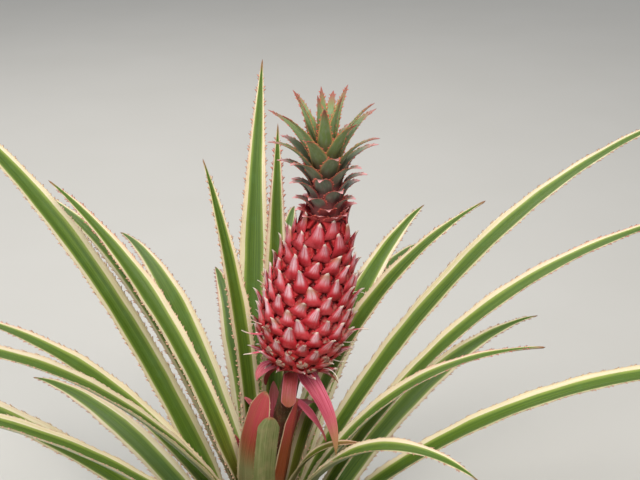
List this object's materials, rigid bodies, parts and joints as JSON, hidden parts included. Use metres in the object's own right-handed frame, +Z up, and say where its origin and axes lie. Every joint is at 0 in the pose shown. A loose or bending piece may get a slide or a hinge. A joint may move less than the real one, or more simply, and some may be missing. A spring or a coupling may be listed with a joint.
{
  "type": "pineapple plant",
  "caption": "Rooted pineapple plant: a rosette of long cream-edged sword leaves round a short stem, with a leaning stalk that carries a red fruit and its leafy crown.",
  "frame": {"origin": "middle of the flat cut under the main stem, at ground level", "axes": "+Z up along the main stem, the fruit leans to +X, the picture looks along +Y"},
  "size_m": [1.3284, 1.2209, 0.7514],
  "materials": {
    "stem": "matte brown stem wrapped in old leaf bases",
    "leaf": "satin green leaf with cream margins flushed pink",
    "stalk": "satin green to red flower stalk",
    "bract": "satin pink to red bract",
    "fruit": "satin red fruit with pale pink bract tips",
    "crown": "satin grey-green leaves with red toothed edges"
  },
  "bodies": {
    "root": {"main_stem": "stem", "leaf_01": "leaf", "leaf_02": "leaf", "leaf_03": "leaf", "leaf_04": "leaf", "leaf_05": "leaf", "leaf_06": "leaf", "leaf_07": "leaf", "leaf_08": "leaf", "leaf_09": "leaf", "leaf_10": "leaf", "leaf_11": "leaf", "leaf_12": "leaf", "leaf_13": "leaf", "leaf_14": "leaf", "leaf_15": "leaf", "leaf_16": "leaf", "leaf_17": "leaf", "leaf_18": "leaf", "leaf_19": "leaf", "leaf_20": "leaf", "leaf_21": "leaf", "leaf_22": "leaf", "leaf_23": "leaf", "leaf_24": "leaf", "leaf_25": "leaf", "leaf_26": "leaf", "leaf_27": "leaf", "leaf_28": "leaf", "leaf_29": "leaf", "leaf_30": "leaf", "leaf_31": "leaf", "leaf_32": "leaf", "leaf_33": "leaf", "leaf_34": "leaf", "leaf_35": "leaf", "leaf_36": "leaf", "leaf_37": "leaf", "leaf_38": "leaf", "leaf_39": "leaf", "leaf_40": "leaf", "leaf_41": "leaf", "leaf_42": "leaf", "leaf_43": "leaf", "leaf_44": "leaf", "flower_stalk": "stalk", "stalk_bract_1": "bract", "stalk_bract_2": "bract", "stalk_bract_3": "bract", "stalk_bract_4": "bract", "collar_bract_1": "bract", "collar_bract_2": "bract", "collar_bract_3": "bract", "collar_bract_4": "bract", "collar_bract_5": "bract", "collar_bract_6": "bract", "fruit": "fruit", "crown": "crown"}
  },
  "joints": []
}
